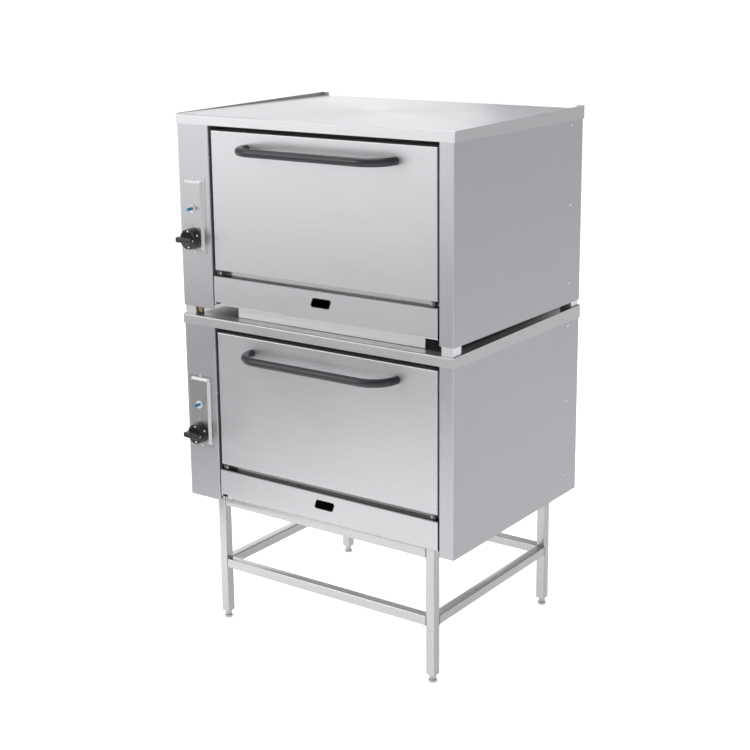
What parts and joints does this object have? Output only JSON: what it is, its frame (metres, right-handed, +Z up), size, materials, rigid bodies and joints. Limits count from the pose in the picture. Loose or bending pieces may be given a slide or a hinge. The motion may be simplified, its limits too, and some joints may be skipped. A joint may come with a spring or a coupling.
{
  "type": "gas deck oven",
  "caption": "Stacked gas deck oven on a square-tube stand, with drop-down doors, bar handles, push-and-turn knobs and push-button igniters.",
  "frame": {"origin": "on the floor, in the middle of the overall footprint, handles and gas inlets included", "axes": "+X to the right as seen from the front, +Y to the back, +Z up; the doors face -Y"},
  "size_m": [1.0044, 0.8572, 1.638],
  "materials": {
    "casing_steel": "brushed stainless sheet",
    "lid_steel": "brushed stainless sheet",
    "galvanised": "plain zinc-coated sheet",
    "enamel": "dark vitreous enamel",
    "wool": "mineral wool slab",
    "hearth_steel": "heat-darkened plate",
    "rack_wire": "bright wire",
    "burner_iron": "as cast",
    "pipe_steel": "plain pipe",
    "valve_brass": "machined",
    "stem_steel": "turned",
    "knob_black": "moulded, fine grain",
    "plate_steel": "pressed stainless sheet",
    "igniter_white": "glazed ceramic look",
    "button_blue": "moulded",
    "handle_black": "satin black coat",
    "hinge_steel": "machined",
    "seal_braid": "braided glass fibre",
    "stand_steel": "light warm grey coat",
    "foot_chrome": "bright plated",
    "screw_steel": "bright screws"
  },
  "bodies": {
    "ovens_and_stand": {"lower_top_cover": "lid_steel", "lower_left_casing": "casing_steel", "lower_right_casing": "casing_steel", "lower_back_panel": "galvanised", "lower_base_pan": "casing_steel", "lower_front_frame": "casing_steel", "lower_fascia": "casing_steel", "lower_oven_liner": "enamel", "lower_insulation": "wool", "lower_hearth_plate": "hearth_steel", "lower_oven_rack": "rack_wire", "lower_burner": "burner_iron", "lower_gas_pipe": "pipe_steel", "lower_gas_valve": "valve_brass", "lower_control_plate": "plate_steel", "lower_igniter": "igniter_white", "lower_hinge_brackets": "hinge_steel", "lower_door_seal": "seal_braid", "upper_top_cover": "lid_steel", "upper_left_casing": "casing_steel", "upper_right_casing": "casing_steel", "upper_back_panel": "galvanised", "upper_base_pan": "casing_steel", "upper_front_frame": "casing_steel", "upper_fascia": "casing_steel", "upper_oven_liner": "enamel", "upper_insulation": "wool", "upper_hearth_plate": "hearth_steel", "upper_oven_rack": "rack_wire", "upper_burner": "burner_iron", "upper_gas_pipe": "pipe_steel", "upper_gas_valve": "valve_brass", "upper_control_plate": "plate_steel", "upper_igniter": "igniter_white", "upper_hinge_brackets": "hinge_steel", "upper_door_seal": "seal_braid", "deck_feet": "casing_steel", "stand_legs": "stand_steel", "stand_rails": "stand_steel", "casing_screws": "screw_steel"},
    "lower_door": {"lower_door_skin": "casing_steel", "lower_door_liner": "casing_steel", "lower_door_insulation": "wool", "lower_door_handle": "handle_black", "lower_door_hinges": "hinge_steel"},
    "lower_plunger": {"lower_valve_plunger": "stem_steel"},
    "lower_knob": {"lower_temperature_knob": "knob_black"},
    "lower_button": {"lower_igniter_button": "button_blue"},
    "upper_door": {"upper_door_skin": "casing_steel", "upper_door_liner": "casing_steel", "upper_door_insulation": "wool", "upper_door_handle": "handle_black", "upper_door_hinges": "hinge_steel"},
    "upper_plunger": {"upper_valve_plunger": "stem_steel"},
    "upper_knob": {"upper_temperature_knob": "knob_black"},
    "upper_button": {"upper_igniter_button": "button_blue"},
    "front_left_foot": {"front_left_foot": "foot_chrome"},
    "front_right_foot": {"front_right_foot": "foot_chrome"},
    "back_left_foot": {"back_left_foot": "foot_chrome"},
    "back_right_foot": {"back_right_foot": "foot_chrome"}
  },
  "joints": [
    {"name": "lower_door_hinge", "type": "hinge", "parent": "ovens_and_stand", "child": "lower_door", "pos_m": [0.04, -0.32815, 0.5227], "axis": [1, 0, 0], "range_deg": [0, 90], "stiffness_Nm_per_rad": 12, "springref_deg": -17.19},
    {"name": "lower_knob_push", "type": "slide", "parent": "ovens_and_stand", "child": "lower_plunger", "axis": [0, 1, 0], "range_m": [0, 0.004], "stiffness_N_per_m": 900, "springref_m": -0.003},
    {"name": "lower_knob_turn", "type": "hinge", "parent": "lower_plunger", "child": "lower_knob", "pos_m": [-0.442, -0.34535, 0.624], "axis": [0, 1, 0], "range_deg": [0, 270]},
    {"name": "lower_igniter_push", "type": "slide", "parent": "ovens_and_stand", "child": "lower_button", "axis": [0, 1, 0], "range_m": [0, 0.004], "stiffness_N_per_m": 900, "springref_m": -0.003},
    {"name": "upper_door_hinge", "type": "hinge", "parent": "ovens_and_stand", "child": "upper_door", "pos_m": [0.04, -0.32815, 1.1467], "axis": [1, 0, 0], "range_deg": [0, 90], "stiffness_Nm_per_rad": 12, "springref_deg": -17.19},
    {"name": "upper_knob_push", "type": "slide", "parent": "ovens_and_stand", "child": "upper_plunger", "axis": [0, 1, 0], "range_m": [0, 0.004], "stiffness_N_per_m": 900, "springref_m": -0.003},
    {"name": "upper_knob_turn", "type": "hinge", "parent": "upper_plunger", "child": "upper_knob", "pos_m": [-0.442, -0.34535, 1.248], "axis": [0, 1, 0], "range_deg": [0, 270]},
    {"name": "upper_igniter_push", "type": "slide", "parent": "ovens_and_stand", "child": "upper_button", "axis": [0, 1, 0], "range_m": [0, 0.004], "stiffness_N_per_m": 900, "springref_m": -0.003},
    {"name": "front_left_foot_screw", "type": "hinge", "parent": "ovens_and_stand", "child": "front_left_foot", "pos_m": [-0.379, -0.31315, 0], "axis": [0, 0, 1], "continuous": true},
    {"name": "front_right_foot_screw", "type": "hinge", "parent": "ovens_and_stand", "child": "front_right_foot", "pos_m": [0.414, -0.31315, 0], "axis": [0, 0, 1], "continuous": true},
    {"name": "back_left_foot_screw", "type": "hinge", "parent": "ovens_and_stand", "child": "back_left_foot", "pos_m": [-0.379, 0.34285, 0], "axis": [0, 0, 1], "continuous": true},
    {"name": "back_right_foot_screw", "type": "hinge", "parent": "ovens_and_stand", "child": "back_right_foot", "pos_m": [0.414, 0.34285, 0], "axis": [0, 0, 1], "continuous": true}
  ]
}
